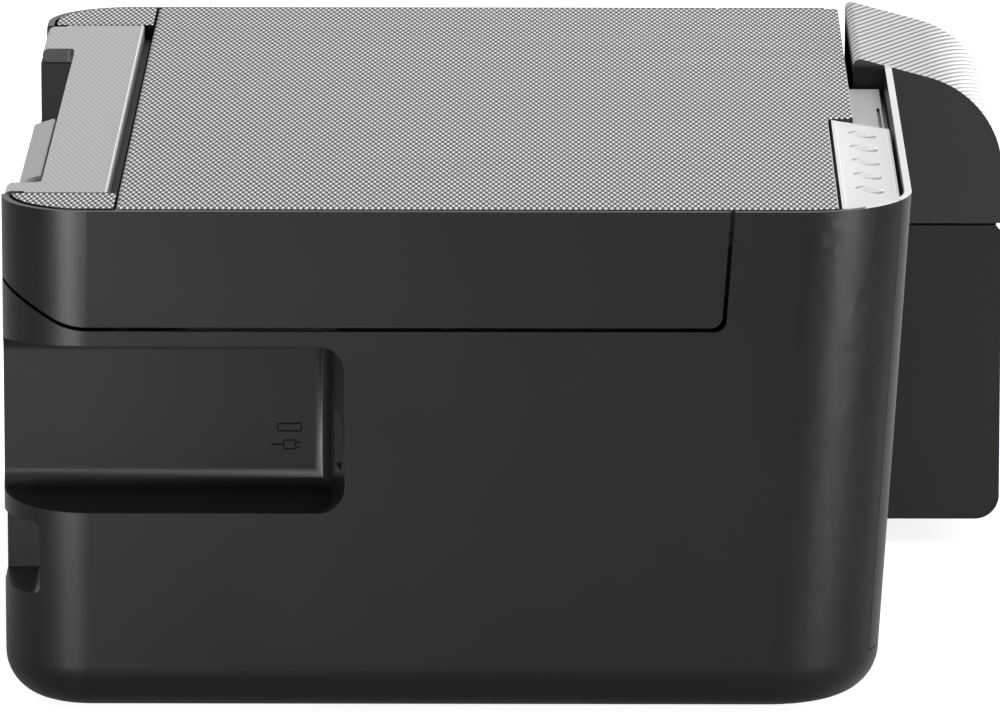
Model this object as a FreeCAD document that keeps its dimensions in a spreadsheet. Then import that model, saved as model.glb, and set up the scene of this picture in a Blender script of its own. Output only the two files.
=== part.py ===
# Inkjet printer with ink tanks, built as separate named solids.
# Frame: X to the right, Y to the rear, Z up; origin at the bottom centre of the bounding box; millimetres.
import FreeCAD
import Part
import Sketcher
import math
import os

SIZES = {
    "width": 375.0,           # left side to right side
    "depth": 347.0,           # tank front to rear face
    "height": 176.4,          # table to lid top
    "foot_height": 3.0,       # rubber feet below the case
    "wall": 2.4,              # case wall thickness
    "fit": 0.3,               # gap between pieces fixed to each other
    "run": 0.6,               # gap around moving pieces
    "lid_gap": 1.2,           # dark gap between lid and rim
    "tank_overhang": 40.3,    # tank front ahead of the front rim
    "front_lean": 11.0,       # how far the front face leans in from rim to base
    "rear_corner": 30.0,      # vertical corner radius, rear
    "front_corner": 38.0,     # vertical corner radius, front
    "base_round": 16.0,       # radius around the underside
    "lid_proud": 0.4,         # lid top above the rim
    "lid_thick": 8.0,         # scanner lid thickness
    "seam_z": 135.0,          # height of the side seam
    "seam_back": 63.0,        # side seam upright behind the front rim
    "seam_lean": 3.0,         # forward lean of that upright
    "seam_rise": 0.55,        # rise of the seam toward the rear, for each unit of length
    "seam_gap": 1.4,          # width of the side seam
    "slot_depth": 35.7,       # feed slot cover, front edge to rear face
    "slot_gap": 3.4,          # dark gap between lid and slot cover
    "ear_left": 29.3,         # left end of the slot from the left side
    "ear_right": 39.0,        # right end of the slot from the right side
    "panel_width": 160.0,     # control panel length measured from the left side
    "panel_depth": 20.4,      # control panel front to rear
    "panel_drop": 3.2,        # fall of the panel from rear to front
    "key_radius": 4.6,        # key cap radius
    "key_pitch": 24.0,        # spacing of the keys
    "tank_width": 114.0,      # ink tank module, side to side
    "tank_base": 9.0,         # tank housing underside above the table
    "tank_seam": 117.5,       # top of the tank housing
    "tank_rise": 2.7,         # rear edge of the tank cover above the lid top
    "tank_fall": 14.6,        # fall of the tank cover's top from rear to front
    "port_depth": 32.0,       # depth of the data port recess
    "port_length": 115.9,     # length of that recess from the rear face
    "port_low": 72.5,         # lower edge of that recess
    "port_high": 130.0,       # upper edge of that recess
    "roller_radius": 7.0,     # paper feed roller
    "shaft_radius": 4.0,      # carriage guide shaft
    "gear_module": 2.0,       # tooth size of the feed gears
    "bore_play": 0.06,        # radial play of shafts in holes
}

DOC = FreeCAD.newDocument("inkjet_printer")
SHEET = DOC.addObject("Spreadsheet::Sheet", "sizes")
VEC = FreeCAD.Vector


class Size:
    """A length with the sheet formula it comes from."""

    def __init__(self, value, formula=None):
        self.value = float(value)
        self.formula = formula if formula else "(%.6f)" % self.value

    def join(self, other, sign, value, swap=False):
        first, second = (other, self) if swap else (self, other)
        return Size(value, "(%s %s %s)" % (first.formula, sign, second.formula))

    def __add__(self, other):
        other = size(other)
        return self.join(other, "+", self.value + other.value)

    def __sub__(self, other):
        other = size(other)
        return self.join(other, "-", self.value - other.value)

    def __mul__(self, other):
        other = size(other)
        return self.join(other, "*", self.value * other.value)

    def __truediv__(self, other):
        other = size(other)
        return self.join(other, "/", self.value / other.value)

    def __rsub__(self, other):
        other = size(other)
        return self.join(other, "-", other.value - self.value, swap=True)

    def __neg__(self):
        return Size(-self.value, "(0 - %s)" % self.formula)

    __radd__ = __add__
    __rmul__ = __mul__


def size(number):
    return number if isinstance(number, Size) else Size(number)


def fill_sheet():
    named = {}
    for row, (name, value) in enumerate(SIZES.items(), start=1):
        SHEET.set("A%d" % row, name)
        SHEET.set("B%d" % row, str(value))
        SHEET.setAlias("B%d" % row, name)
        named[name] = Size(value, "<<sizes>>." + name)
    DOC.recompute()
    return named


def bind(item, prop, number):
    item.setExpression(prop, size(number).formula)


def place(item, x, y, z):
    bind(item, "Placement.Base.x", x)
    bind(item, "Placement.Base.y", y)
    bind(item, "Placement.Base.z", z)


# Outlines: a list of corners (a, b) or (a, b, radius); a circle is ("circle", a, b, radius).

def rect(a0, a1, b0, b1, radius=0):
    return [(a0, b0, radius), (a1, b0, radius), (a1, b1, radius), (a0, b1, radius)]


def pin_point(sketch, geometry, end, a, b):
    for axis, number in (("DistanceX", a), ("DistanceY", b)):
        index = sketch.addConstraint(Sketcher.Constraint(axis, -1, 1, geometry, end, size(number).value))
        sketch.renameConstraint(index, "at%d" % index)
        bind(sketch, "Constraints.at%d" % index, number)


def pin_radius(sketch, geometry, radius):
    index = sketch.addConstraint(Sketcher.Constraint("Radius", geometry, size(radius).value))
    sketch.renameConstraint(index, "at%d" % index)
    bind(sketch, "Constraints.at%d" % index, radius)


def draw_circle(sketch, a, b, radius):
    centre = VEC(size(a).value, size(b).value, 0)
    ring = sketch.addGeometry(Part.Circle(centre, VEC(0, 0, 1), size(radius).value))
    pin_point(sketch, ring, 3, a, b)
    pin_radius(sketch, ring, radius)


def corner_points(previous, here, following, radius):
    """Start, middle and end of the round at a corner."""
    back = (previous - here).normalize()
    ahead = (following - here).normalize()
    half = math.acos(max(-1.0, min(1.0, back.dot(ahead)))) / 2
    reach = radius / math.tan(half)
    bisector = (back + ahead).normalize()
    middle = here + bisector * (radius / math.sin(half) - radius)
    return here + back * reach, middle, here + ahead * reach


def draw_outline(sketch, corners):
    corners = [(size(c[0]), size(c[1]), size(c[2]) if len(c) > 2 else size(0)) for c in corners]
    spots = [VEC(a.value, b.value, 0) for a, b, r in corners]
    count = len(corners)
    ends = []
    for i, (a, b, radius) in enumerate(corners):
        if radius.value > 0:
            ends.append(corner_points(spots[i - 1], spots[i], spots[(i + 1) % count], radius.value))
        else:
            ends.append((spots[i], None, spots[i]))
    lines = [sketch.addGeometry(Part.LineSegment(ends[i][2], ends[(i + 1) % count][0])) for i in range(count)]
    for i, (a, b, radius) in enumerate(corners):
        before, after = lines[i - 1], lines[i]
        if radius.value > 0:
            arc = sketch.addGeometry(Part.Arc(*ends[i]))
            mark = sketch.addGeometry(Part.Point(spots[i]), True)
            start = sketch.getPoint(arc, 1)
            first, last = (1, 2) if start.distanceToPoint(ends[i][0]) < 1e-4 else (2, 1)
            sketch.addConstraint(Sketcher.Constraint("Tangent", before, 2, arc, first))
            sketch.addConstraint(Sketcher.Constraint("Tangent", arc, last, after, 1))
            sketch.addConstraint(Sketcher.Constraint("PointOnObject", mark, 1, before))
            sketch.addConstraint(Sketcher.Constraint("PointOnObject", mark, 1, after))
            pin_point(sketch, mark, 1, a, b)
            pin_radius(sketch, arc, radius)
        else:
            sketch.addConstraint(Sketcher.Constraint("Coincident", before, 2, after, 1))
            pin_point(sketch, after, 1, a, b)


def draw(sketch, outlines):
    for outline in outlines:
        if outline[0] == "circle":
            draw_circle(sketch, *outline[1:])
        else:
            draw_outline(sketch, outline)


def feature(body, kind, plane, low, high, *outlines):
    """Add or remove the outlines between two levels along the plane's axis."""
    sketch = body.newObject("Sketcher::SketchObject", "outline")
    origin = [f for f in body.Origin.OriginFeatures if f.Role == plane + "_Plane"][0]
    sketch.AttachmentSupport = [(origin, "")]
    sketch.MapMode = "FlatFace"
    adding = kind == "Pad"
    if plane == "XZ":
        level = -size(high) if adding else -size(low)
    else:
        level = size(low) if adding else size(high)
    bind(sketch, "AttachmentOffset.Base.z", level)
    draw(sketch, outlines)
    step = body.newObject("PartDesign::" + kind, kind.lower())
    step.Profile = sketch
    bind(step, "Length", size(high) - low)
    sketch.Visibility = False
    return step


def body(label):
    item = DOC.addObject("PartDesign::Body", label)
    item.Label = label
    return item


def prism(label, plane, low, high, *outlines):
    item = body(label)
    feature(item, "Pad", plane, low, high, *outlines)
    return item


def block(x0, x1, y0, y1, z0, z1):
    item = DOC.addObject("Part::Box", "block")
    bind(item, "Length", size(x1) - x0)
    bind(item, "Width", size(y1) - y0)
    bind(item, "Height", size(z1) - z0)
    place(item, x0, y0, z0)
    return item


def rod(axis, low, high, a, b, radius):
    """A cylinder along an axis; a and b are the two other coordinates in X, Y, Z order."""
    item = DOC.addObject("Part::Cylinder", "rod")
    bind(item, "Radius", radius)
    bind(item, "Height", size(high) - low)
    turn = {"X": (VEC(0, 1, 0), 90), "Y": (VEC(1, 0, 0), -90), "Z": (VEC(0, 0, 1), 0)}[axis]
    item.Placement = FreeCAD.Placement(VEC(0, 0, 0), FreeCAD.Rotation(*turn))
    spot = {"X": (low, a, b), "Y": (a, low, b), "Z": (a, b, low)}[axis]
    place(item, *spot)
    return item


def fuse(label, *pieces):
    item = DOC.addObject("Part::MultiFuse", label)
    item.Label = label
    item.Shapes = list(pieces)
    item.Refine = True
    return item


def common(label, *pieces):
    item = DOC.addObject("Part::MultiCommon", label)
    item.Label = label
    item.Shapes = list(pieces)
    item.Refine = True
    return item


def cut(label, base, *tools):
    item = DOC.addObject("Part::Cut", label)
    item.Label = label
    item.Base = base
    item.Tool = tools[0] if len(tools) == 1 else fuse(label + "_tools", *tools)
    item.Refine = True
    return item


def rounded(label, base, radius, wanted):
    """Round the edges of a shape that the test picks."""
    DOC.recompute()
    item = DOC.addObject("Part::Fillet", label)
    item.Label = label
    item.Base = base
    amount = size(radius).value
    picked = [n for n, edge in enumerate(base.Shape.Edges, start=1) if wanted(edge.BoundBox)]
    item.Edges = [(n, amount, amount) for n in picked]
    return item


S = fill_sheet()
wall, fit, run = S["wall"], S["fit"], S["run"]
left, right = -S["width"] / 2, S["width"] / 2
rear, tank_front = S["depth"] / 2, -S["depth"] / 2
front = tank_front + S["tank_overhang"]
foot, top = S["foot_height"], S["height"]
floor = foot + wall
rim = top - S["lid_proud"]
lid_under = top - S["lid_thick"]
deck_top = lid_under - 0.5
in_left, in_right, in_rear = left + wall, right - wall, rear - wall
seam_y = front + S["seam_back"]
slot_front = rear - S["slot_depth"]
slot_left, slot_right = left + S["ear_left"], right - S["ear_right"]
lid_rear = slot_front - S["slot_gap"]
lid_front = front + 16.4
panel_rear, panel_right = front + 24.1, left + S["panel_width"]
panel_front = panel_rear - S["panel_depth"]
tank_left = right - S["tank_width"]
bay_left, bay_rear = tank_left - fit, front + 21.2
swing_y, swing_z = rear - 10.5, rim - 10
lid_barrel, cover_barrel = 2.4, 5
cover_top = top + S["tank_rise"]
lid_axis_y, lid_axis_z = lid_rear - lid_barrel, top - lid_barrel
cover_axis_y, cover_axis_z = tank_front + 49, cover_top - 6.2
PARTS = {}


def keep(item, label=None):
    item.Label = label or item.Label
    PARTS[item.Label] = item
    return item


def case_form(label, inset, above):
    """The case block: leaning front with round corners, upright rear, rounded underside."""
    low = foot + inset
    lean = S["front_lean"]
    plan = DOC.addObject("Sketcher::SketchObject", label + "_front")
    corner = S["front_corner"] - inset
    draw(plan, [[(left + inset, front + lean + inset, corner), (right * 2, front + lean + inset),
                 (right * 2, rear * 2), (left + inset, rear * 2)]])
    place(plan, 0, 0, foot)
    lean_block = DOC.addObject("Part::Extrusion", label + "_lean")
    lean_block.Base = plan
    lean_block.DirMode = "Custom"
    lean_block.Solid = True
    bind(lean_block, "Dir.x", 0)
    bind(lean_block, "Dir.y", -lean * 1.2)
    bind(lean_block, "Dir.z", (rim - foot) * 1.2)
    corner = S["rear_corner"] - inset
    upright = prism(label + "_rear", "XY", low, above,
                    [(left + inset, -rear * 2), (right - inset, -rear * 2),
                     (right - inset, rear - inset, corner), (left + inset, rear - inset, corner)])
    crossing = common(label + "_block", lean_block, upright)
    base = low.value
    return rounded(label, crossing, S["base_round"] - inset, lambda box: abs(box.ZMax - base) < 1e-4)


def seam_cutter(label, gap):
    """Everything above the side seam and behind its upright, set back by the gap; it rises at the rear."""
    low = S["seam_z"] + gap
    upright = seam_y + gap
    high = top * 1.2
    lean = S["seam_lean"] * (high - S["seam_z"]) / (rim - S["seam_z"])
    knee, tail = rear - 23, rear + 20
    return prism(label, "YZ", left * 1.1, right * 1.1,
                 [(upright, low, 4), (knee, low, 25), (tail, low + (tail - knee) * S["seam_rise"]),
                  (tail, high), (upright - lean, high)])


OUTER = case_form("outer", Size(0), rim)
INNER = case_form("inner", wall, rim * 1.1)
SHELL = cut("shell", OUTER, INNER)


# Lower case: shell below the seam, front-left corner, port recess, power niche, tank bay and inner seats.

port_in, port_low, port_high = left + S["port_depth"], S["port_low"], S["port_high"]
inlet_left = left + 19
port_front, board_low = rear - S["port_length"], 86.5
niche_left, niche_right, niche_low, niche_high = left + 5, left + 46, 43, 68
front_left, front_low = left + 21.5, 20
plate_left, plate_right = left + 42, right - 19.5
feed_y, feed_z = rear - 98.5, floor + 62.6
exit_y, idler_y = feed_y - 50 * S["gear_module"], feed_y - 25 * S["gear_module"]

seat_x, seat_y = (plate_left - 4, plate_right - 4), (exit_y + 2, feed_y + 14)
screw_spots = [(x + 4.5, y + 6) for x in seat_x for y in seat_y]


def port_recess(label, grow):
    """The side recess with a sloping floor and a drafted front wall; grow makes the block around it."""
    side = prism(label + "_side", "YZ", left * 1.2, port_in + grow,
                 [(port_front - grow, port_low - grow, 9), (rear * 1.2, port_low - grow),
                  (rear * 1.2, port_high + grow), (port_front - grow, port_high + grow, 9)])
    section = prism(label + "_section", "XZ", -rear, rear * 1.2,
                    [(left - 5, port_low - grow - 0.5), (port_in + grow, port_low - grow + 3, 6),
                     (port_in + grow, port_high + grow - 3, 6), (left - 5, port_high + grow + 0.5)])
    plan = prism(label + "_plan", "XY", 0, top,
                 [(left - 5, port_front - grow - 1), (port_in + grow, port_front - grow + 6, 6),
                  (port_in + grow, rear * 1.2), (left - 5, rear * 1.2)])
    return common(label, side, section, plan)


def lower_case():
    ports = common("port_walls", fuse("port_blocks", port_recess("port_block", wall),
                                      block(niche_left - wall, niche_right + wall, rear - 16, rear * 1.1,
                                            niche_low - wall, niche_high + wall)), OUTER)
    back_wall = block(bay_left - wall, in_right, bay_rear, bay_rear + wall, foot, 145)
    side_wall = block(bay_left - wall, bay_left, front + 16.2, bay_rear + wall, foot + 3, 145)
    bay_walls = common("bay_walls", fuse("bay_blocks", back_wall, side_wall), OUTER)
    ledges = [block(in_left - 1, in_left + 8, y, y + 8, board_low - 3.4, board_low)
              for y in (port_front - 110, port_front - 30)]
    seats = [block(x, x + 9, y, y + 12, foot + 1, 20) for x in seat_x for y in seat_y]
    whole = fuse("case_whole", cut("case_lower", SHELL, seam_cutter("seam_case", Size(0))),
                 ports, bay_walls, *(ledges + seats))
    bay = block(bay_left, right * 1.1, tank_front * 1.1, bay_rear, -5, top)
    niche = prism("niche", "YZ", niche_left, niche_right,
                  rect(rear - 13, rear + 13, niche_low, niche_high, 3))
    inlet_hole = block(inlet_left, inlet_left + 24, rear - 20, rear, 48, 62)
    usb_hole = block(left + 6, left + 19, port_front - 14, port_front + 14, board_low - 0.9, board_low + 17.5)
    feed_seat = block(slot_left - run * 2 - wall, slot_right + run * 2 + wall, slot_front - 10, rear * 1.1,
                      S["seam_z"], top)
    front_hole = block(front_left, bay_left - wall, front - 10, front + 16, front_low, top)
    sinks = [rod("Z", 0, foot + 2.2, x, y, 3.4) for x, y in screw_spots]
    holes = [rod("Z", foot, 16.5, x, y, 1.5) for x, y in screw_spots]
    keep(cut("lower_case", whole, port_recess("port_hollow", Size(0)), niche, inlet_hole, usb_hole,
             feed_seat, bay, front_hole, *(sinks + holes)))
    heads = prism("case_screws", "XY", foot + 0.5, foot + 2.2, *[("circle", x, y, 3) for x, y in screw_spots])
    feature(heads, "Pad", "XY", foot + 2.2, 16, *[("circle", x, y, 1.5) for x, y in screw_spots])
    keep(heads)


def rubber_feet():
    spots = [(x, y) for x in (left + 38, right - 38) for y in (front + 48, rear - 34)]
    return keep(prism("rubber_feet", "XY", 0, foot, *[("circle", x, y, 8) for x, y in spots]))


# Front panel with the shelf that carries the control panel, and the paper output below it.

mouth_left, mouth_right, mouth_high = plate_left + 2.4, bay_left - wall - 3, 80
shelf = rim - 8


def front_panel():
    x1 = bay_left - wall - fit
    face = common("front_face", SHELL,
                  block(front_left + fit, x1, front - 10, front + 15.5, front_low + fit, top))
    plates = fuse("shelf_plates",
                  block(left, panel_right + 1, front - 5, panel_rear + 1, shelf - wall, shelf),
                  block(left, x1, front - 5, lid_front - 1, shelf - wall, shelf))
    inside = common("shelf_inside", plates, case_form("shelf_form", wall + 1.6, rim))
    web = block(front_left + 20, mouth_right, front + 2, front + 7, shelf - wall - 12, shelf - wall + 0.4)
    mouth = block(mouth_left, mouth_right, front - 5, front + 20, 0, mouth_high)
    groove = block(panel_right + 3, bay_left - wall - 36, front + 5.4, front + 6.4, shelf - 0.8, top)
    return keep(cut("front_panel", fuse("front_whole", face, inside, web), mouth, groove))


def output_tray():
    lip_high = 44
    face = common("tray_face", SHELL, block(mouth_left + run, mouth_right - run, front - 5, front + 15,
                                            front_low + run, lip_high))
    x0, x1, y1 = mouth_left + 3, mouth_right - 3, exit_y - 8
    plate = block(x0, x1, front + 9.5, y1, 32, 34.4)
    rails = [block(x, x + 4, front + 9.5, y1, 24.5, 32.5) for x in (x0 + 30, x1 - 34)]
    lips = [block(x, x + 8, front + 9.5, y1, 22.6, 25) for x in (x0 + 30, x1 - 38)]
    slot = block(x0 + 34, x1 - 34, front - 5, front + 14, 25, 32)
    keep(cut("output_tray", fuse("tray_whole", face, plate, *(rails + lips)), slot))
    nose = common("leaf_nose", SHELL, block(x0 + 34 + run, x1 - 34 - run, front - 5, front + 14, 25.4, 31.4))
    leaf = block(x0 + 34 + run, x1 - 34 - run, front + 10.5, y1 - 4, 25.4, 28)
    keep(fuse("output_extension", nose, leaf))


def control_panel():
    x0, x1 = left + wall + 1.2, panel_right
    skin = prism("panel_skin", "YZ", x0, x1,
                 [(panel_front, shelf), (panel_rear, shelf), (panel_rear, rim),
                  (panel_front, rim - S["panel_drop"])])
    inside = common("panel_plan", skin, case_form("panel_form", wall + 1.2, top))
    hollow = block(x0 + 26, x1 - 3, panel_front + 2, panel_rear - 2, shelf - 1, shelf + 2.4)
    holes = [rod("Z", shelf, top, x, key_y, S["key_radius"] + 0.3) for x in key_spots]
    keep(cut("control_panel", inside, hollow, *holes))
    board = block(x0 + 28, x1 - 5, panel_front + 3, panel_rear - 3, shelf, shelf + 1)
    keep(board, "panel_board")


key_y = (panel_front + panel_rear) / 2
key_names = ["power_key", "wireless_key", "mono_copy_key", "colour_copy_key", "stop_key"]
key_spots = [panel_right - 18 - S["key_pitch"] * n for n in range(len(key_names) - 1, -1, -1)]


def keys():
    middle = rim - S["panel_drop"] / 2
    for name, x in zip(key_names, key_spots):
        cap = prism(name + "_block", "XY", shelf + 2.4, middle + 0.3, ("circle", x, key_y, S["key_radius"]))
        high = (middle + 0.3).value
        keep(rounded(name + "_cap", cap, 0.6, lambda box: box.ZMin > high - 1e-4), name)


# Scanner unit: skirt, deck and ears as one frame; tray, glass, rod and scan bar; lid with its pad.

deck_low = deck_top - 4
glass = (left + 36, right - 36, front + 31, lid_rear - 14)


def scanner_frame():
    skirt = cut("skirt", common("skirt_upper", SHELL, seam_cutter("seam_skirt", S["seam_gap"])),
                block(slot_left - run, slot_right + run, lid_rear + 1, rear * 1.1, 0, top))
    inset = wall + S["lid_gap"]
    plan = prism("deck_plan", "XY", deck_low, deck_top,
                 [(left, panel_rear + 3), (panel_right + 2, panel_rear + 3), (panel_right + 2, lid_front + 2),
                  (right, lid_front + 2), (right, lid_rear), (left, lid_rear)])
    edge = common("deck_edge", OUTER, fuse("edge_blocks", *[
        block(x, x + wall + 3, seam_y + 4, lid_rear, deck_low, deck_top) for x in (left, right - wall - 3)]))
    sides = ((left, slot_left - run), (slot_right + run, right))
    ear_blocks = [block(x0, x1, lid_rear + fit, rear, deck_low, top) for x0, x1 in sides]
    ears = common("ears", fuse("ear_blocks", *ear_blocks), case_form("ear_form", inset, top))
    bands = common("ear_bands", fuse("band_blocks", *[
        block(x0, x1, lid_rear - 4, rear, deck_low, deck_top) for x0, x1 in sides]), OUTER)
    cheeks = common("cheeks", fuse("cheek_blocks", *[
        block(x, x + wall, lid_rear - 1, rear, S["seam_z"] + 8, deck_top)
        for x in (slot_left - run - wall, slot_right + run)]), OUTER)
    gx0, gx1, gy0, gy1 = glass
    window = block(gx0 + 2, gx1 - 2, gy0 + 2, gy1 - 2, deck_low - 1, top)
    rebate = block(gx0 - fit, gx1 + fit, gy0 - fit, gy1 + fit, deck_top - 2.6, top)
    swing = [rod("X", x, x + run + wall + 0.1, swing_y, swing_z, 3 + S["bore_play"])
             for x in (slot_left - run - wall - 0.05, slot_right)]
    hinge = rod("X", in_left - 1, in_right + 1, lid_axis_y, lid_axis_z, 1.25)
    deck = fuse("deck", common("deck_trim", plan, case_form("deck_form", wall + run, top)), edge)
    keep(cut("scanner_frame", fuse("frame_whole", skirt, deck, ears, bands, cheeks), window, rebate, hinge,
             *swing))
    keep(prism("scanner_glass", "XY", deck_top - 2.6, deck_top, rect(gx0, gx1, gy0, gy1)))


def scanner_tray():
    low = deck_low - 18.5
    x0, x1, y1 = in_left + 4, in_right - 4, lid_rear - 3
    yl, yr, xm = panel_rear + 5, lid_front + 4, panel_right + 4
    tray = prism("tray_block", "XY", low, deck_low,
                 [(x0, yl), (xm, yl), (xm, yr), (x1, yr), (x1, y1), (x0, y1)])
    feature(tray, "Pocket", "XY", low + 2, deck_low,
            [(x0 + 2, yl + 2), (xm + 2, yl + 2), (xm + 2, yr + 2), (x1 - 2, yr + 2),
             (x1 - 2, y1 - 2), (x0 + 2, y1 - 2)])
    rod_y, rod_z = (glass[2] + glass[3]) / 2, low + 10
    saddles = [block(x, x + 8, rod_y - 5, rod_y + 5, low + 1, deck_low - 3) for x in (x0 + 1, x1 - 9)]
    bore = rod("X", x0 + 1, x1 - 1, rod_y, rod_z, 3)
    keep(cut("scanner_tray", fuse("tray_parts", tray, *saddles), bore))
    keep(rod("X", x0 + 1, x1 - 1, rod_y, rod_z, 3), "scan_rod")
    bar_left = glass[0] + 4
    bar = prism("bar_block", "XZ", glass[2] + 3, glass[3] - 3,
                [(bar_left, low + 4.5, 1), (bar_left + 20, low + 4.5, 1), (bar_left + 20, deck_low - 1.4, 1),
                 (bar_left + 12, deck_low - 0.4, 1), (bar_left + 8, deck_low - 0.4, 1),
                 (bar_left, deck_low - 1.4, 1)])
    keep(cut("scan_bar", bar, rod("X", bar_left - 1, bar_left + 21, rod_y, rod_z, 3 + S["bore_play"])))


def lid_plan():
    """Lid edge with the notch at the front left for the control panel; the sides are trimmed later."""
    notch_x, notch_y = panel_right + 1.6, panel_rear + 1.2
    return [(left, notch_y), (notch_x, notch_y, 3), (notch_x, lid_front, 3), (right, lid_front),
            (right, lid_rear), (left, lid_rear)]


def scanner_lid():
    lid = prism("lid_block", "XY", lid_under, top, lid_plan())
    feature(lid, "Pocket", "XY", lid_under, top - 2.5,
            rect(glass[0] - 6, glass[1] + 6, glass[2] - 4, glass[3] + 4))
    ends = block(left, right, lid_axis_y, rear, lid_under - 1, top + 1)
    barrel = rod("X", left, right, lid_axis_y, lid_axis_z, lid_barrel)
    shaped = common("lid_shaped", cut("lid_round", lid, cut("lid_tail", ends, barrel)),
                    case_form("lid_form", wall + S["lid_gap"], top))
    hole = rod("X", left, right, lid_axis_y, lid_axis_z, 1.25 + S["bore_play"])
    soft = rounded("lid_soft", shaped, 0.5,
                   lambda box: box.ZMin > top.value - 1e-3 and box.YMax < lid_axis_y.value + 0.1)
    keep(cut("scanner_lid", soft, hole))
    pad = rect(glass[0] - 5.5, glass[1] + 5.5, glass[2] - 3.5, glass[3] + 3.5)
    keep(prism("lid_pad", "XY", lid_under + 0.2, top - 2.5, pad))
    pins = [rod("X", in_left - 1, in_left + 9, lid_axis_y, lid_axis_z, 1.25),
            rod("X", in_right - 9, in_right + 1, lid_axis_y, lid_axis_z, 1.25)]
    keep(fuse("lid_hinge_pins", *pins))


# Rear paper feed: frame with notch, slot cover, paper support and edge guide.

notch_left, notch_right = left + 47, right - 85
notch_front, notch_low = rear - 12.5, 150
grip_left = notch_left + 14
grip_right = grip_left + 100
cover_y, cover_z = rear - 3.1, top - 2.5
leaf_front, leaf_rear = rear - 10, rear - 7.5


def rear_feed_frame():
    low, high = S["seam_z"], top - 5.4
    x0, x1 = slot_left, slot_right
    whole = block(x0, x1, slot_front - 2.2, rear, low, high)
    well = block(x0 + 2.4, x1 - 2.4, slot_front, rear - 15.5, low - 1, high + 1)
    notch = block(notch_left, notch_right, notch_front, rear + 1, notch_low, high + 1)
    leaf_slot = block(grip_left - fit, grip_right + fit, leaf_front - fit, leaf_rear + fit, low - 1, high)
    cheek_high = top - 0.8
    cheeks = [block(x, x + 2.4, cover_y - 3.2, rear, high - 4, cheek_high) for x in (x0, x1 - 2.4)]
    bar = block(x0, x1, rear - 22, rear - 18, low + 5, low + 8)
    fence = block(mouth_right, mouth_right + 3, slot_front - 1, rear - 15, low + 1, high - 8)
    studs = [rod("X", slot_left - run - wall, slot_left + 2, swing_y, swing_z, 3),
             rod("X", slot_right - 2, slot_right + run + wall, swing_y, swing_z, 3)]
    hollow = cut("feed_hollow", whole, well, notch, leaf_slot)
    shell = fuse("feed_whole", hollow, bar, fence, *(cheeks + studs))
    bores = rod("X", x0 - 0.05, x1 + 0.05, cover_y, cover_z, 1.25 + S["bore_play"])
    limit = fuse("feed_limit", OUTER, block(left + 20, right - 30, slot_front - 3, rear, rim - 2, top))
    keep(cut("rear_feed_frame", common("feed_trim", shell, limit), bores))
    guide = prism("edge_guide", "YZ", slot_left + 14, slot_left + 18,
                  [(slot_front + 1, low + 2, 1), (rear - 16.5, low + 2, 1), (rear - 16.5, high - 3, 3),
                   (slot_front + 1, high - 3, 3)],
                  rect(rear - 22 - fit, rear - 18 + fit, low + 5 - fit, low + 8 + fit))
    keep(guide)


def slot_cover():
    x0, x1 = slot_left + 0.6, slot_right - 0.6
    low = top - 5
    lid = prism("slot_cover_block", "XY", low, top,
                [(x0, slot_front, 2), (x1, slot_front, 2), (x1, cover_y - 4.4), (x1 - 2.4, cover_y - 4.4),
                 (x1 - 2.4, cover_y + 2.5), (notch_right, cover_y + 2.5), (notch_right, notch_front, 3),
                 (notch_left, notch_front, 3), (notch_left, cover_y + 2.5), (x0 + 2.4, cover_y + 2.5),
                 (x0 + 2.4, cover_y - 4.4), (x0, cover_y - 4.4)])
    feature(lid, "Pocket", "XY", low, top - 2, rect(x0 + 2.4, x1 - 2.4, slot_front + 2.4, notch_front - 2.4))
    tail = cut("cover_tail", block(left, right, cover_y, rear + 5, low - 1, top + 1),
               rod("X", left, right, cover_y, cover_z, 2.5))
    pins = [rod("X", x, x + 4.3, cover_y, cover_z, 1.25) for x in (x0 - 0.3, x1 - 4)]
    keep(fuse("slot_cover", cut("cover_round", lid, tail), *pins))


def paper_support():
    y0, y1 = notch_front + 0.7, rear - 4.3
    head = prism("grip_head", "YZ", grip_left, grip_right,
                 [(y0, top - 3.4, 0.8), (y1, top - 6, 0.8), (y1, top - 2.6, 0.8), (y0, top - 0.2, 0.8)])
    leaf = block(grip_left, grip_right, leaf_front, leaf_rear, 74, top - 3.6)
    keep(fuse("paper_support", head, leaf))


# Ink tank module at the front right.

tank_names = ["black", "cyan", "magenta", "yellow"]
tank_pitch = (S["tank_width"] - wall * 2 - 1.2) / 4
tank_rear = cover_axis_y - 8.5


def tank_housing():
    x0, x1 = tank_left, right
    z0, z1 = S["tank_base"], S["tank_seam"]
    back = bay_rear - fit
    box = prism("housing_block", "YZ", x0, x1, [(tank_front, z0, 11), (back, z0, 2), (back, z1),
                                                (tank_front + 2, z1), (tank_front, z1 - 2)])
    feature(box, "Pocket", "XY", z0 + wall, z1, rect(x0 + wall, x1 - wall, tank_front + wall, back - wall, 2))
    feature(box, "Pocket", "XZ", tank_front - 1, tank_front + wall + 1,
            rect(x0 + 9, x1 - 9, z0 + 22, z1 - 16, 3))
    y0, y1 = cover_axis_y - 6.5, cover_axis_y
    posts = []
    for x in (x0 + wall + fit * 2 + 0.4, x1 - wall - fit * 2 - 4.4):
        posts.append(block(x, x + 4, y0, y1, z1 - 30, cover_axis_z))
        posts.append(rod("X", x, x + 4, cover_axis_y, cover_axis_z, 2.4))
    ribs = [block(x, x + 6.4, y0, y1, z1 - 30, z1 - 4) for x in (x0 + 1, x1 - 7.4)]
    eye = rod("X", x0 + 1, x1 - 1, cover_axis_y, cover_axis_z, 1.25 + S["bore_play"])
    keep(cut("tank_housing", fuse("housing_whole", box, *(posts + ribs)), eye))
    pane = prism("tank_window", "XZ", tank_front + 0.5, tank_front + wall,
                 rect(x0 + 9 + fit, x1 - 9 - fit, z0 + 22 + fit, z1 - 16 - fit, 3))
    keep(pane)


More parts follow.
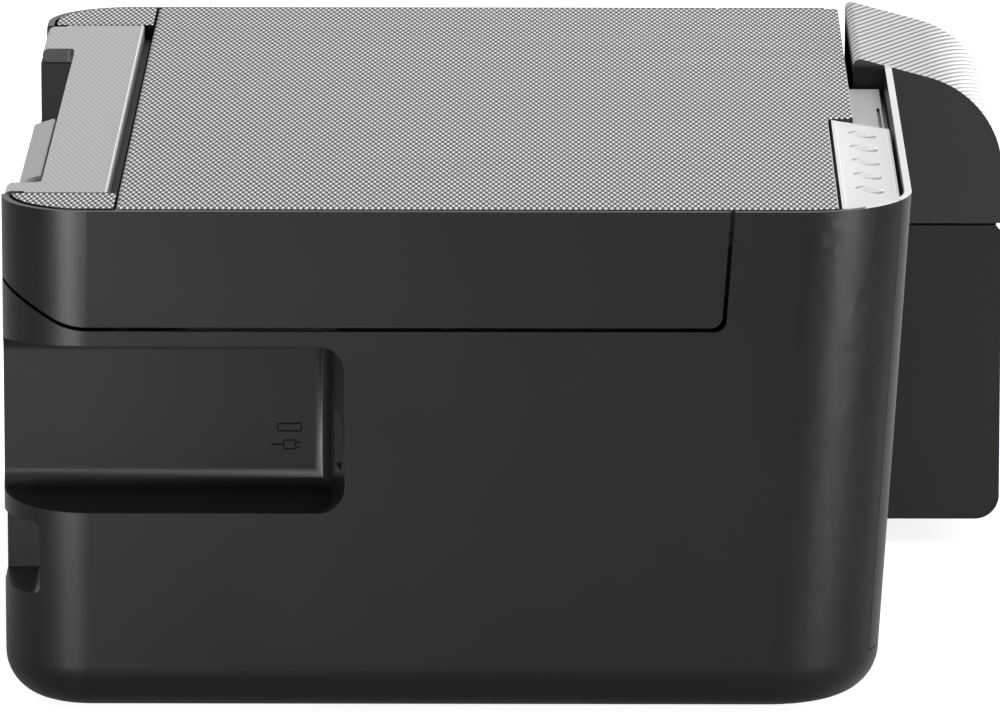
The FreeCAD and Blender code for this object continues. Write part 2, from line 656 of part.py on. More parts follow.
def tank_cover():
    z0, t = S["tank_seam"] + 0.8, 1.8
    back, lip = cover_axis_y + cover_barrel, cover_axis_y + 2.8
    nose_z = cover_top - S["tank_fall"]
    slope = S["tank_fall"] / (back - tank_front)
    shape = prism("cover_block", "YZ", tank_left + fit, right - fit,
                  [(tank_front, z0), (back, z0), (back, cover_top, 2.5), (tank_front, nose_z, 36)])
    feature(shape, "Pocket", "YZ", tank_left + fit + t, right - fit - t,
            [(tank_front + t, z0 - 1), (back + 1, z0 - 1), (back + 1, cover_axis_z), (lip, cover_axis_z),
             (lip, cover_top - slope * (back - lip) - t, 0.6), (tank_front + t, nose_z + slope * t - t, 34)])
    pins = [rod("X", tank_left + fit + 1, tank_left + wall + 5, cover_axis_y, cover_axis_z, 1.25),
            rod("X", right - wall - 5, right - fit - 1, cover_axis_y, cover_axis_z, 1.25)]
    keep(fuse("tank_cover", shape, *pins))


def ink_tanks():
    for n, name in enumerate(tank_names):
        x0 = tank_left + wall + 0.6 + tank_pitch * n + 0.4
        x1 = x0 + tank_pitch - 0.8
        y0, y1 = tank_front + wall + 0.6, tank_rear
        z0, z1 = S["tank_base"] + wall, S["tank_seam"] - 12
        xm, ym = (x0 + x1) / 2, (y0 + y1) / 2
        tank = prism("ink_tank_" + name, "XY", z0, z1 - 2, rect(x0, x1, y0, y1, 2))
        feature(tank, "Pocket", "XY", z0 + 1.6, z1 - 2, rect(x0 + 1.6, x1 - 1.6, y0 + 1.6, y1 - 1.6, 1))
        feature(tank, "Pad", "XY", z1 - 2, z1, rect(x0, x1, y0, y1, 2))
        feature(tank, "Pad", "XY", z1, z1 + 6, ("circle", xm, ym, 6.5))
        feature(tank, "Pocket", "XY", z1 - 3, z1 + 6, ("circle", xm, ym, 4.2))
        keep(tank)
        cap = prism("tank_cap_" + name, "XY", z1 + 6, z1 + 9, ("circle", xm, ym, 7.5))
        feature(cap, "Pad", "XY", z1 + 1, z1 + 6, ("circle", xm, ym, 4.0))
        feature(cap, "Pad", "XY", z1 + 9, z1 + 13, rect(xm - 5, xm + 5, ym - 1.5, ym + 1.5, 1))
        keep(cap)


# Print mechanism on a sheet-metal chassis.

plate_t = 1.6
beam_y = feed_y - 17
park_left = plate_right - 74
shaft_y, shaft_z = beam_y - 18, floor + 112
belt_z, belt_y = floor + 98, beam_y - 5.5
pulley_left, pulley_right = plate_left + 12, plate_right - 13
pinion_y, pinion_z = feed_y + S["gear_module"] * 9.65, feed_z - S["gear_module"] * 11.49


def chassis():
    z0, z1 = 20, floor + 127
    sides = [block(x, x + plate_t, exit_y - 8, rear - 62, z0, z1) for x in (plate_left, plate_right)]
    beam = block(plate_left, plate_right + plate_t, beam_y, beam_y + plate_t, floor + 80, z1)
    flange = block(plate_left, plate_right + plate_t, beam_y - 8, beam_y + plate_t, z1 - plate_t, z1)
    stub = rod("X", plate_left - 6.5, plate_left + 1, idler_y, feed_z, 3)
    play = S["bore_play"]
    holes = [rod("X", plate_left - 1, plate_right + 3, feed_y, feed_z, 3 + play),
             rod("X", plate_left - 1, plate_right + 3, exit_y, feed_z, 2.5 + play),
             rod("X", plate_left - 1, plate_right + 3, shaft_y, shaft_z, S["shaft_radius"]),
             rod("X", plate_left - 1, plate_left + 3, pinion_y, pinion_z, 4),
             rod("Y", beam_y - 1, beam_y + 3, pulley_left, belt_z, 1.5 + play),
             rod("Y", beam_y - 1, beam_y + 3, pulley_right, belt_z, 1.5 + play)]
    keep(cut("chassis", fuse("chassis_whole", beam, flange, stub, *sides), *holes))
    keep(rod("X", plate_left - 2, plate_right + 3.6, shaft_y, shaft_z, S["shaft_radius"]), "guide_shaft")
    strip = block(plate_left + plate_t, plate_right, shaft_y - 16, shaft_y - 15.5, z1 - 7, z1 - 1)
    keep(strip, "encoder_strip")


def carriage():
    x0, x1 = park_left, plate_right - 4
    low, high = feed_z + 6, floor + 119
    shape = prism("carriage_block", "YZ", x0, x1,
                  [(beam_y - 56, low, 2), (beam_y - 7, low, 2), (beam_y - 7, high, 2), (beam_y - 34, high, 4),
                   (beam_y - 56, high - 22, 6)])
    xm = (x0 + x1) / 2
    jaws = [block(xm - 10, xm + 10, beam_y - 8, beam_y - 2, belt_z + 7.0 + 1.4, belt_z + 11.5),
            block(xm - 10, xm + 10, beam_y - 8, beam_y - 2, belt_z + 2.5, belt_z + 6.4)]
    bore = rod("X", x0 - 1, x1 + 1, shaft_y, shaft_z, S["shaft_radius"] + S["bore_play"])
    keep(cut("carriage", fuse("carriage_whole", shape, *jaws), bore))
    keep(block(x0 + 10, x1 - 10, beam_y - 48, beam_y - 14, low - 5, low), "print_head")


def belt_drive():
    r = 7.0
    keep(prism("carriage_belt", "XZ", belt_y, belt_y + 4,
               rect(pulley_left - r - 1, pulley_right + r + 1, belt_z - r - 1, belt_z + r + 1, r + 0.9),
               rect(pulley_left - r, pulley_right + r, belt_z - r, belt_z + r, r - 0.1)))
    ends = (("drive_pulley", pulley_right, beam_y + 6), ("idler_pulley", pulley_left, beam_y + 2.4))
    for label, x, tail in ends:
        wheel = prism(label, "XZ", belt_y, belt_y + 4, ("circle", x, belt_z, r - 0.3))
        feature(wheel, "Pad", "XZ", belt_y - 1, belt_y, ("circle", x, belt_z, r - 2))
        feature(wheel, "Pad", "XZ", belt_y + 4, tail, ("circle", x, belt_z, 1.5))
        keep(wheel)
    motor = prism("carriage_motor", "XZ", beam_y + plate_t, beam_y + 32, ("circle", pulley_right, belt_z, 11))
    feature(motor, "Pocket", "XZ", beam_y + plate_t, beam_y + 8, ("circle", pulley_right, belt_z, 1.7))
    keep(motor)


def tooth_outline(teeth, a, b, turn):
    """Corners of a spur gear with involute flanks thinned for backlash."""
    m = S["gear_module"].value
    pitch = m * teeth / 2
    base = pitch * math.cos(math.radians(20))
    root, tip = pitch - 1.25 * m, pitch + 0.92 * m
    pressure = math.tan(math.radians(20)) - math.radians(20)
    half = math.pi / (2 * teeth) - 0.14 / pitch
    start = max(root + 0.2, base)
    flank = []
    for step in range(4):
        radius = start + (tip - start) * step / 3
        roll = math.acos(min(1.0, base / radius))
        flank.append((radius, half + pressure - (math.tan(roll) - roll)))
    side = [(root, flank[0][1])] + flank
    corners = []
    for n in range(teeth):
        middle = turn + 2 * math.pi * n / teeth
        for radius, angle in [(r, -g) for r, g in side] + [(r, g) for r, g in reversed(side)]:
            corners.append((a + radius * math.cos(middle + angle), b + radius * math.sin(middle + angle)))
    return corners


def gear(label, teeth, y, z, turn, bore, low, high):
    """A flat-sided gear; its outline is a formula, so the face is built directly."""
    corners = [VEC(low.value, p, q) for p, q in tooth_outline(teeth, y.value, z.value, turn)]
    face = Part.Face(Part.makePolygon(corners + corners[:1]))
    item = DOC.addObject("Part::Feature", label + "_teeth")
    item.Shape = face.extrude(VEC(high.value - low.value, 0, 0))
    return cut(label, item, rod("X", low - 1, high + 1, y, z, bore)) if bore else item


gear_low, gear_high = plate_left - 6.4, plate_left - 1.4
half_step = math.pi / 20


def rollers():
    feed = prism("feed_core", "YZ", plate_left - 8, plate_right + 3, ("circle", feed_y, feed_z, 3))
    feature(feed, "Pad", "YZ", mouth_left + 2, mouth_right - 2,
            ("circle", feed_y, feed_z, S["roller_radius"]))
    teeth = gear("feed_gear", 20, feed_y, feed_z, 0.0, 0, gear_low, gear_high)
    keep(fuse("feed_roller", feed, teeth))
    out = prism("exit_core", "YZ", plate_left - 8, plate_right + 3, ("circle", exit_y, feed_z, 2.5))
    span = (mouth_right - mouth_left - 40) / 4
    for n in range(5):
        x = mouth_left + 16 + span * n
        feature(out, "Pad", "YZ", x, x + 8, ("circle", exit_y, feed_z, S["roller_radius"]))
    teeth = gear("exit_gear", 20, exit_y, feed_z, 0.0, 0, gear_low, gear_high)
    keep(fuse("exit_roller", out, teeth))
    keep(gear("idler_gear", 30, idler_y, feed_z, math.pi / 30, 3 + S["bore_play"], gear_low, gear_high))
    aim = math.atan2(pinion_z.value - feed_z.value, pinion_y.value - feed_y.value)
    slot = round(aim / (2 * half_step)) * 2 * half_step
    turn = aim + math.pi + math.pi / 10 + (aim - slot) * 2
    shaft = prism("pinion_core", "YZ", gear_high - 5, plate_left + 6, ("circle", pinion_y, pinion_z, 2))
    teeth = gear("pinion_gear", 10, pinion_y, pinion_z, turn, 0, gear_low, gear_high)
    keep(fuse("motor_pinion", shaft, teeth))
    motor = prism("feed_motor", "YZ", plate_left + plate_t, plate_left + 32,
                  ("circle", pinion_y, pinion_z, 13))
    feature(motor, "Pocket", "YZ", plate_left, plate_left + 8, ("circle", pinion_y, pinion_z, 2.2))
    keep(motor)


def paper_path():
    x0, x1 = plate_left + plate_t, mouth_right + 4
    platen = prism("platen_plate", "XY", feed_z - 10, feed_z - 6, rect(x0, x1, exit_y + 13, feed_y - 12))
    feature(platen, "Pad", "XY", floor, feed_z - 10, rect(x1 - 8, x1, exit_y + 25, feed_y - 25))
    pitch = (x1 - x0 - 24) / 9
    rib_spots = [x0 + 11 + pitch * n for n in range(10)]
    ribs = [block(x, x + 2.4, exit_y + 14, feed_y - 13, feed_z - 6.5, feed_z - 4) for x in rib_spots]
    keep(fuse("platen", platen, *ribs))
    keep(prism("feed_ramp", "YZ", x0, x1, [(rear - 14, S["seam_z"]), (rear - 18, S["seam_z"]),
                                           (rear - 34, S["seam_z"] - 40, 20), (feed_y + 12, feed_z + 2),
                                           (feed_y + 12, feed_z - 1), (rear - 30, S["seam_z"] - 42, 20)]))
    wheel_bar = prism("star_wheel_bar", "YZ", x0, x1,
                      [(exit_y - 7, feed_z + 8), (exit_y + 7, feed_z + 8), (exit_y + 7, feed_z + 12, 2),
                       (exit_y - 7, feed_z + 12, 2)])
    keep(wheel_bar)
    bar_low, bar_high = floor + 84, floor + 94
    pinch = prism("pinch_bar", "YZ", x0 + 2, x1 - 6,
                  [(beam_y + plate_t, bar_low), (beam_y + plate_t, bar_high), (beam_y + 5, bar_high, 2),
                   (feed_y + 5, feed_z + 11, 2), (feed_y + 3, feed_z + 8), (feed_y - 4, feed_z + 8.2)])
    keep(pinch)
    x0, x1, y0, y1 = park_left + 6, plate_right - 6, beam_y - 52, beam_y - 10
    station = prism("capping_station", "XY", floor, feed_z - 6, rect(x0, x1, y0, y1, 3))
    feature(station, "Pad", "XY", feed_z - 6, feed_z - 0.5, rect(x0 + 6, x1 - 8, y0 + 6, y1 - 6, 3))
    feature(station, "Pocket", "XY", feed_z - 3, feed_z - 0.5, rect(x0 + 8, x1 - 10, y0 + 8, y1 - 8, 2))
    keep(station)
    keep(block(x0 - 2, x1 + 2, bay_rear + 22, y0 - 2, floor, floor + 14), "waste_ink_pad")


def electronics():
    keep(block(left + 53, left + 123, rear - 95, rear - 22, floor, 26), "power_supply")
    board = block(in_left + 1, plate_left - 9, port_front - 112, port_front - 6, board_low, board_low + 1.6)
    keep(board, "main_board")
    low = board_low + 1.6
    usb = block(left + 6.5, left + 18.5, port_front - 12, port_front + 0.5, low, low + 11)
    well = cut("usb_well", block(left + 8, left + 17, port_front - 8, port_front + 6, low + 1.5, low + 9.5),
               block(left + 10.4, left + 14.6, port_front - 9, port_front - 0.5, low + 3.9, low + 7.1))
    keep(cut("usb_port", usb, well))
    x0, x1 = inlet_left + 0.3, inlet_left + 23.7
    inlet = prism("power_inlet", "XZ", rear - 19, rear - 12.4, rect(x0, x1, 48.3, 61.7, 2))
    feature(inlet, "Pocket", "XZ", rear - 18, rear - 12, rect(x0 + 2.7, x1 - 2.7, 50.5, 59.5, 4.4))
    pins = [("circle", x, 55, 1.2) for x in (x0 + 7.5, x1 - 7.5)]
    feature(inlet, "Pad", "XZ", rear - 18.5, rear - 13.4, *pins)
    keep(inlet)


lower_case()
rubber_feet()
front_panel()
output_tray()
control_panel()
keys()
scanner_frame()
scanner_tray()
scanner_lid()
rear_feed_frame()
slot_cover()
paper_support()
tank_housing()
tank_cover()
ink_tanks()
chassis()
carriage()
belt_drive()
rollers()
paper_path()
electronics()
DOC.recompute()

for item in DOC.Objects:
    if "Invalid" in item.State or "Error" in item.State:
        raise RuntimeError("step failed: " + item.Label)
os.makedirs("parts", exist_ok=True)
for name, item in PARTS.items():
    shape = item.Shape
    if shape.isNull() or not shape.isValid():
        raise RuntimeError("bad shape: " + name)
    shape.exportStep(os.path.join("parts", name + ".step"))
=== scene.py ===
import math

import bmesh
import bpy
from mathutils import Matrix, Vector


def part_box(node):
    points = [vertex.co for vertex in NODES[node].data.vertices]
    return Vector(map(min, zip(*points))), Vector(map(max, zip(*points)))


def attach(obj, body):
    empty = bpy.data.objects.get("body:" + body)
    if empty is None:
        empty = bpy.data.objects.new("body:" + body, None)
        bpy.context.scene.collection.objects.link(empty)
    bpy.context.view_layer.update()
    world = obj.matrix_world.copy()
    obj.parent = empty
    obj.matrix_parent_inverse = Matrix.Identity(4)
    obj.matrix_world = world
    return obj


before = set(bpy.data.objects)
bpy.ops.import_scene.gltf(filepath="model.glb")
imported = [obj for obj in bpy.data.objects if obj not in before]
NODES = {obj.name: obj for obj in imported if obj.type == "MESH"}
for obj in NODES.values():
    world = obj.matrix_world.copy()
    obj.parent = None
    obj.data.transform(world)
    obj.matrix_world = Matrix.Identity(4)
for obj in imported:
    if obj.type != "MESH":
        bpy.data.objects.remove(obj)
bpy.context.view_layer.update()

MM = 0.001

# The camera stands left of the printer and looks along +X, slightly down.
CAMERA_PLACE = Vector((-3.4995, -0.0177, 0.8593))
CAMERA_PITCH = math.radians(12.470)
CAMERA_YAW = math.radians(0.399)
LENS = 364.74
SENSOR_WIDTH = 36

# The embossed pattern that the lid, the feed cover and the tank cover share.
LOZENGE_LENGTH = 7.3 * MM
LOZENGE_WIDTH = 2.0 * MM

# Parts of a normal that tell faces apart: looking up, a little up, to one side, and on no side wall.
UPWARD = 0.55
SLIGHTLY_UP = 0.02
SIDEWAYS = 0.5
LENGTHWISE = 0.3

# Marks are thin slabs that stand this high on the surface under them, drawn with these strokes.
MARK_DEPTH = 0.1 * MM
MARK_GAP = 0.02 * MM
HAIR_LINE = 0.4 * MM
FINE_LINE = 0.45 * MM
LINE = 0.5 * MM
BOLD_LINE = 0.6 * MM

ALONG_X = (1, 0, 0)
ALONG_Y = (0, 1, 0)
ALONG_Z = (0, 0, 1)

# How far the control panel's top falls from its rear edge to its front edge.
PANEL_DROP = 3.2 * MM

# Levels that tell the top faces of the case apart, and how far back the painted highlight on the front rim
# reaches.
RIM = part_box("front_panel")[1].z
SHELF = RIM - 8 * MM
RIM_HIGHLIGHT_REACH = 12 * MM

# How high the ink stands in the tanks, with its full line a little above and its low line near the bottom.
INK_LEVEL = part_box("tank_window")[1].z - 12 * MM
FULL_LINE = INK_LEVEL + 2 * MM
LOW_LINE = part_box("tank_window")[0].z + 10 * MM

# How bright the white surroundings are for diffuse light, and how much the floor adds for the camera.
WORLD_LIGHT = 0.4
FLOOR_GLOW = 0.8

# The sill on the tank housing's lower front edge: the housing's own round and the fuller one of the sill.
TANK_ROUND = 11 * MM
SILL_ROUND = 8.8 * MM
SILL_STEPS = 24

# How deep the port recess is, and where its sign stands on its wall.
PORT_WALL = 32 * MM
PORT_SIGN_Y = 76.9 * MM
PORT_SIGN_Z = 89 * MM


def grey(level):
    """A grey written as its 0 to 255 screen level, as a linear colour."""
    share = level / 255
    linear = share / 12.92 if share <= 0.04045 else ((share + 0.055) / 1.055) ** 2.4
    return (linear, linear, linear, 1)


def tint(red, green, blue):
    """A colour written as 0 to 255 screen levels, as a linear colour."""
    return tuple(grey(level)[0] for level in (red, green, blue)) + (1,)


class Finish:
    """A node material around one Principled shader."""

    def __init__(self, name, colour, roughness, **sockets):
        self.material = bpy.data.materials.new(name)
        self.material.use_nodes = True
        self.tree = self.material.node_tree
        self.shader = self.tree.nodes["Principled BSDF"]
        self.colour = colour
        self.set("Base Color", colour)
        self.set("Roughness", roughness)
        for socket, value in sockets.items():
            self.set(socket.replace("_", " ").title().replace("Ior", "IOR"), value)
        self.place = self.add("ShaderNodeTexCoord").outputs["Object"]

    def set(self, socket, value):
        """Gives one input of the shader a constant or the output of another node."""
        self.plug(self.shader.inputs[socket], value)

    def plug(self, socket, value):
        """Gives any socket a constant or the output of another node."""
        if isinstance(value, bpy.types.NodeSocket):
            self.tree.links.new(value, socket)
        else:
            socket.default_value = value

    def add(self, kind, inputs=None, **settings):
        """A node of this kind, with its inputs given by name or by number."""
        node = self.tree.nodes.new(kind)
        for setting, value in settings.items():
            setattr(node, setting, value)
        for socket, value in (inputs or {}).items():
            self.plug(node.inputs[socket], value)
        return node

    def math(self, operation, *values):
        """The output of one sum on constants or other outputs."""
        inputs = dict(enumerate(values))
        return self.add("ShaderNodeMath", inputs, operation=operation).outputs[0]

    def axis(self, letter):
        """One coordinate of the place on the piece, in metres."""
        return self.add("ShaderNodeSeparateXYZ", {0: self.place}).outputs[letter]

    def noise(self, size, detail=2.0, stretch=(1, 1, 1)):
        """A cloudy pattern from 0 to 1 whose blots are about this size in metres."""
        scale = tuple(1 / (size * each) for each in stretch)
        place = self.add("ShaderNodeMapping", {"Vector": self.place, "Scale": scale}).outputs[0]
        inputs = {"Vector": place, "Scale": 1.0, "Detail": detail}
        return self.add("ShaderNodeTexNoise", inputs).outputs["Fac"]

    def spread(self, value, low, high, start=0.0, end=1.0):
        """The value stretched from start..end to low..high."""
        inputs = {"Value": value, "From Min": start, "From Max": end, "To Min": low, "To Max": high}
        return self.add("ShaderNodeMapRange", inputs).outputs[0]

    def mix(self, share, first, second):
        """The first colour where share is 0, the second where it is 1."""
        node = self.add("ShaderNodeMix", {"Factor": share}, data_type="RGBA")
        self.plug(node.inputs[6], first)
        self.plug(node.inputs[7], second)
        return node.outputs[2]

    def bump(self, height, depth):
        """Raises the surface by height, which runs from 0 to 1, times depth in metres."""
        normal = self.shader.inputs["Normal"]
        inputs = {"Height": height, "Distance": depth, "Strength": 1.0}
        if normal.is_linked:
            inputs["Normal"] = normal.links[0].from_socket
        self.plug(normal, self.add("ShaderNodeBump", inputs).outputs[0])

    def mottle(self, size, amount):
        """Lets the colour wander a little, as pigment does in a moulding."""
        darker = tuple(part * (1 - amount) for part in self.colour[:3]) + (1,)
        lighter = tuple(min(1, part * (1 + amount)) for part in self.colour[:3]) + (1,)
        self.set("Base Color", self.mix(self.noise(size, 3.0), darker, lighter))

    def vary_roughness(self, size, low, high):
        """Lets the gloss wander between two roughnesses."""
        self.set("Roughness", self.spread(self.noise(size, 3.0), low, high, 0.3, 0.7))


def moulded(name, colour, roughness, grain=0.5 * MM, depth=0.02 * MM, **sockets):
    """Moulded plastic: a fine spark-eroded grain, slight changes of colour and gloss."""
    finish = Finish(name, colour, roughness, **sockets)
    finish.mottle(30 * MM, 0.08)
    finish.vary_roughness(40 * MM, roughness - 0.012, roughness + 0.012)
    finish.bump(finish.noise(grain), depth)
    return finish


def slanting_wave(finish, slope, lean=0.0):
    """One of the pattern's two slanting waves, from 0 to 1. lean carries it down a curved front."""
    across = finish.math("MULTIPLY", finish.axis("X"), math.tau / LOZENGE_LENGTH)
    reach = finish.math("MULTIPLY_ADD", finish.axis("Z"), lean, finish.axis("Y"))
    along = finish.math("MULTIPLY", reach, slope * math.tau / LOZENGE_WIDTH)
    wave = finish.math("COSINE", finish.math("ADD", across, along))
    return finish.math("MULTIPLY_ADD", wave, 0.5, 0.5)


def lozenge_lid():
    """The lid's emboss: rows of lozenges on a near black ground. Their tops are painted white, a painted
    highlight, and the lid's mid grey overall is a painted sheen on black plastic.
    """
    finish = Finish("lid_lozenges_painted_highlight", grey(110), 0.5, specular_ior_level=0.12)
    both = finish.math("ADD", slanting_wave(finish, 1), slanting_wave(finish, -1))
    height = finish.math("MULTIPLY", both, 0.5)
    # The ramp runs from near black in the hollows to white on the lozenge tops: the white tops are a
    # painted highlight, the mid grey a painted sheen.
    ramp = finish.add("ShaderNodeValToRGB", {"Fac": height})
    low, high = ramp.color_ramp.elements
    low.position, low.color = 0.1, grey(14)
    high.position, high.color = 0.86, grey(255)
    middle = ramp.color_ramp.elements.new(0.5)
    middle.color = grey(110)
    cloud = finish.noise(40 * MM, 3.0)
    finish.set("Base Color", finish.mix(finish.spread(cloud, 0.0, 0.12), ramp.outputs[0], grey(110)))
    finish.bump(height, 0.12 * MM)
    finish.bump(finish.noise(0.4 * MM), 0.01 * MM)
    return finish


def painted_reflection_top(name, ground, line, share, slope, lean, roughness, specular):
    """A pale top on which only one of the pattern's waves shows, as thin slanting lines. The pale ground is
    a painted reflection of the white surroundings on a black moulding, and the dark lines show the emboss
    with painted shade.
    """
    finish = Finish(name, ground, roughness, specular_ior_level=specular)
    wave = slanting_wave(finish, slope, lean)
    thin = finish.math("POWER", wave, 2.0)
    patchy = finish.math("MULTIPLY", thin, finish.spread(finish.noise(25 * MM), share * 0.8, share))
    finish.set("Base Color", finish.mix(patchy, ground, line))
    finish.bump(wave, -0.05 * MM)
    finish.bump(finish.noise(0.4 * MM), 0.012 * MM)
    return finish


def metal(name, colour, roughness, stretch=(40, 1, 1)):
    """Drawn or ground metal with a fine directional brush."""
    finish = Finish(name, colour, roughness, metallic=1.0)
    brush = finish.noise(0.4 * MM, 2.0, stretch)
    finish.set("Base Color", finish.mix(brush, tuple(0.8 * c for c in colour[:3]) + (1,), colour))
    finish.set("Roughness", finish.spread(brush, roughness - 0.08, roughness + 0.08))
    finish.bump(brush, 0.01 * MM)
    return finish


def clear(name, colour, roughness=0.03, ior=1.49):
    """A clear pane with a trace of smear in its gloss."""
    finish = Finish(name, colour, roughness, transmission_weight=1.0, ior=ior)
    finish.vary_roughness(20 * MM, roughness, roughness + 0.04)
    finish.mottle(50 * MM, 0.02)
    return finish


def rubber(name, colour, roughness=0.75):
    """Soft rubber with a coarse grain."""
    return moulded(name, colour, roughness, 0.8 * MM, 0.03 * MM, specular_ior_level=0.3)


def ink_tank(name, colour):
    """A milky tank with ink up to its level line."""
    finish = Finish(name, colour, 0.25, transmission_weight=0.08, ior=1.45)
    ripple = finish.math("MULTIPLY_ADD", finish.noise(6 * MM), 0.6 * MM, finish.axis("Z"))
    filled = finish.spread(ripple, 1.0, 0.0, INK_LEVEL, INK_LEVEL + 0.8 * MM)
    finish.set("Base Color", finish.mix(filled, grey(205), colour))
    finish.vary_roughness(8 * MM, 0.2, 0.3)
    finish.bump(finish.noise(1.5 * MM), 0.004 * MM)
    return finish


def circuit_board(name):
    """Green solder resist over a web of copper tracks."""
    finish = Finish(name, tint(20, 92, 48), 0.35)
    scale = 1 / (3 * MM)
    cells = finish.add("ShaderNodeTexVoronoi", {"Vector": finish.place, "Scale": scale},
                       feature="DISTANCE_TO_EDGE", distance="EUCLIDEAN")
    track = finish.spread(cells.outputs["Distance"], 1.0, 0.0, 0.04, 0.08)
    finish.set("Base Color", finish.mix(track, tint(16, 76, 40), tint(52, 140, 84)))
    finish.bump(track, 0.03 * MM)
    return finish


def felt(name):
    """White fibre, as on the lid's pad."""
    finish = Finish(name, grey(238), 0.9, specular_ior_level=0.1, sheen_weight=0.3)
    finish.mottle(4 * MM, 0.04)
    finish.bump(finish.noise(0.5 * MM, 4.0), 0.12 * MM)
    return finish


def ribbed(name, colour, pitch, axis, roughness, depth):
    """A surface ribbed across one axis, such as a toothed belt. The colour darkens with the ribs' low
    parts: on the belt this is painted shade in its grooves; the clear strip has no relief, so there it
    gives printed stripes.
    """
    finish = Finish(name, colour, roughness, specular_ior_level=0.3)
    phase = finish.math("MULTIPLY", finish.axis(axis), math.tau / pitch)
    wave = finish.math("MULTIPLY_ADD", finish.math("SINE", phase), 0.5, 0.5)
    finish.set("Base Color", finish.mix(wave, tuple(0.6 * c for c in colour[:3]) + (1,), colour))
    finish.bump(wave, depth)
    return finish


CASE_BLACK = moulded("case_black", grey(12), 0.34, specular_ior_level=0.21)
TANK_BLACK = moulded("tank_black", grey(32), 0.34, specular_ior_level=0.25)
# The front rim's top, painted near white on the black case: a painted highlight where its edge catches the
# light.
PAINTED_RIM_HIGHLIGHT = moulded("rim_painted_highlight", grey(226), 0.4, specular_ior_level=0.5)
LID_TOP_PAINTED_HIGHLIGHT = lozenge_lid()
# The feed cover and tank cover are black mouldings; their pale grounds are a painted reflection of the
# white surroundings.
COVER_TOP_PAINTED_REFLECTION = painted_reflection_top("cover_top_painted_reflection", ground=grey(178), line=grey(140), share=0.6, slope=-1, lean=0.0,
                      roughness=0.5, specular=0.25)
TANK_TOP_PAINTED_REFLECTION = painted_reflection_top("tank_top_painted_reflection", ground=grey(200), line=grey(30), share=0.95, slope=0.68, lean=1.0,
                     roughness=0.5, specular=0.06)
# White for the printed signs and lines, and also for painted highlights on the panel's edges and the feed
# cover's edge and painted light on the keys' sides.
WHITE_PRINT_AND_HIGHLIGHT = moulded("white_print_and_highlight", grey(245), 0.5, 0.3 * MM, 0.004 * MM)
SIGN_DARK = moulded("sign_dark", grey(6), 0.7, specular_ior_level=0.05)
# The shelf in front of the lid is black plastic painted pale grey: a painted reflection of the white
# surroundings on its glossy top.
SHELF_PAINTED_REFLECTION = moulded("shelf_painted_reflection", grey(188), 0.45, specular_ior_level=0.35)

FINISHES = {
    "case_black": CASE_BLACK,
    "inner_black": moulded("inner_black", grey(18), 0.6, specular_ior_level=0.2),
    "foot_rubber": rubber("foot_rubber", grey(38)),
    "screw_steel": metal("screw_steel", grey(170), 0.35, (1, 1, 1)),
    # The panel and keys are painted a pale grey all over: a painted reflection of the white surroundings on
    # their tops.
    "panel_silver": moulded("panel_silver", grey(222), 0.36, 0.3 * MM, 0.008 * MM),
    "key_silver": moulded("key_silver", grey(223), 0.34, 0.3 * MM, 0.008 * MM),
    "board_green": circuit_board("board_green"),
    "clear_glass": clear("clear_glass", tint(236, 244, 241), ior=1.52),
    "rod_steel": metal("rod_steel", grey(196), 0.22),
    "lid_grey": moulded("lid_edge", grey(46), 0.45, specular_ior_level=0.25),
    "pad_white": felt("pad_white"),
    "guide_grey": moulded("guide_grey", grey(128), 0.5),
    "cover_grey": moulded("cover_edge", grey(150), 0.48, specular_ior_level=0.25),
    "grip_grey": moulded("grip_grey", grey(140), 0.42, 0.6 * MM, 0.012 * MM),
    "clear_window": clear("clear_window", grey(236)),
    "tank_grey": moulded("tank_grey", grey(46), 0.34, specular_ior_level=0.25),
    "sheet_steel": metal("sheet_steel", grey(188), 0.34),
    "strip_clear": ribbed("strip_clear", grey(180), 1.0 * MM, "X", 0.2, 0.0),
    "head_black": moulded("head_black", grey(44), 0.4),
    "belt_rubber": ribbed("belt_rubber", grey(34), 2.0 * MM, "X", 0.7, 0.3 * MM),
    "gear_white": moulded("gear_white", tint(226, 223, 214), 0.38, 0.6 * MM, 0.01 * MM),
    "motor_steel": metal("motor_steel", grey(180), 0.3, (1, 40, 1)),
    "roller_grey": rubber("roller_grey", grey(120), 0.8),
    "pinion_brass": metal("pinion_brass", tint(214, 178, 96), 0.25),
    "port_steel": metal("port_steel", grey(120), 0.4),
    "ink_black": ink_tank("ink_black", grey(14)),
    "ink_cyan": ink_tank("ink_cyan", tint(0, 126, 190)),
    "ink_magenta": ink_tank("ink_magenta", tint(190, 12, 104)),
    "ink_yellow": ink_tank("ink_yellow", tint(240, 200, 16)),
    "cap_black": rubber("cap_black", grey(34)),
    "cap_cyan": rubber("cap_cyan", tint(30, 134, 184)),
    "cap_magenta": rubber("cap_magenta", tint(186, 44, 116)),
    "cap_yellow": rubber("cap_yellow", tint(226, 190, 50)),
}


def node_slots():
    """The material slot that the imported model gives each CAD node."""
    return {name: node.data.materials[0].name.split(".")[0] for name, node in NODES.items()}


def dress_nodes():
    """Every CAD node takes the finish of its slot."""
    for name, slot in node_slots().items():
        materials = NODES[name].data.materials
        materials.clear()
        materials.append(FINISHES[slot].material)


def dress_faces(name, finish, wanted):
    """The node's faces that wanted accepts, by centre and normal, take another finish."""
    mesh = NODES[name].data
    mesh.materials.append(finish.material)
    index = len(mesh.materials) - 1
    for face in mesh.polygons:
        if wanted(face.center, face.normal):
            face.material_index = index


def level_with(height, reach=0.15 * MM):
    """A test for faces that look up and lie at this height."""
    return lambda centre, normal: normal.z > UPWARD and abs(centre.z - height) < reach


def top_or_nose(centre, normal):
    """A test for faces that look up or forward and belong to no side wall."""
    return abs(normal.x) < LENGTHWISE and (normal.z > SLIGHTLY_UP or normal.y < -SIDEWAYS)


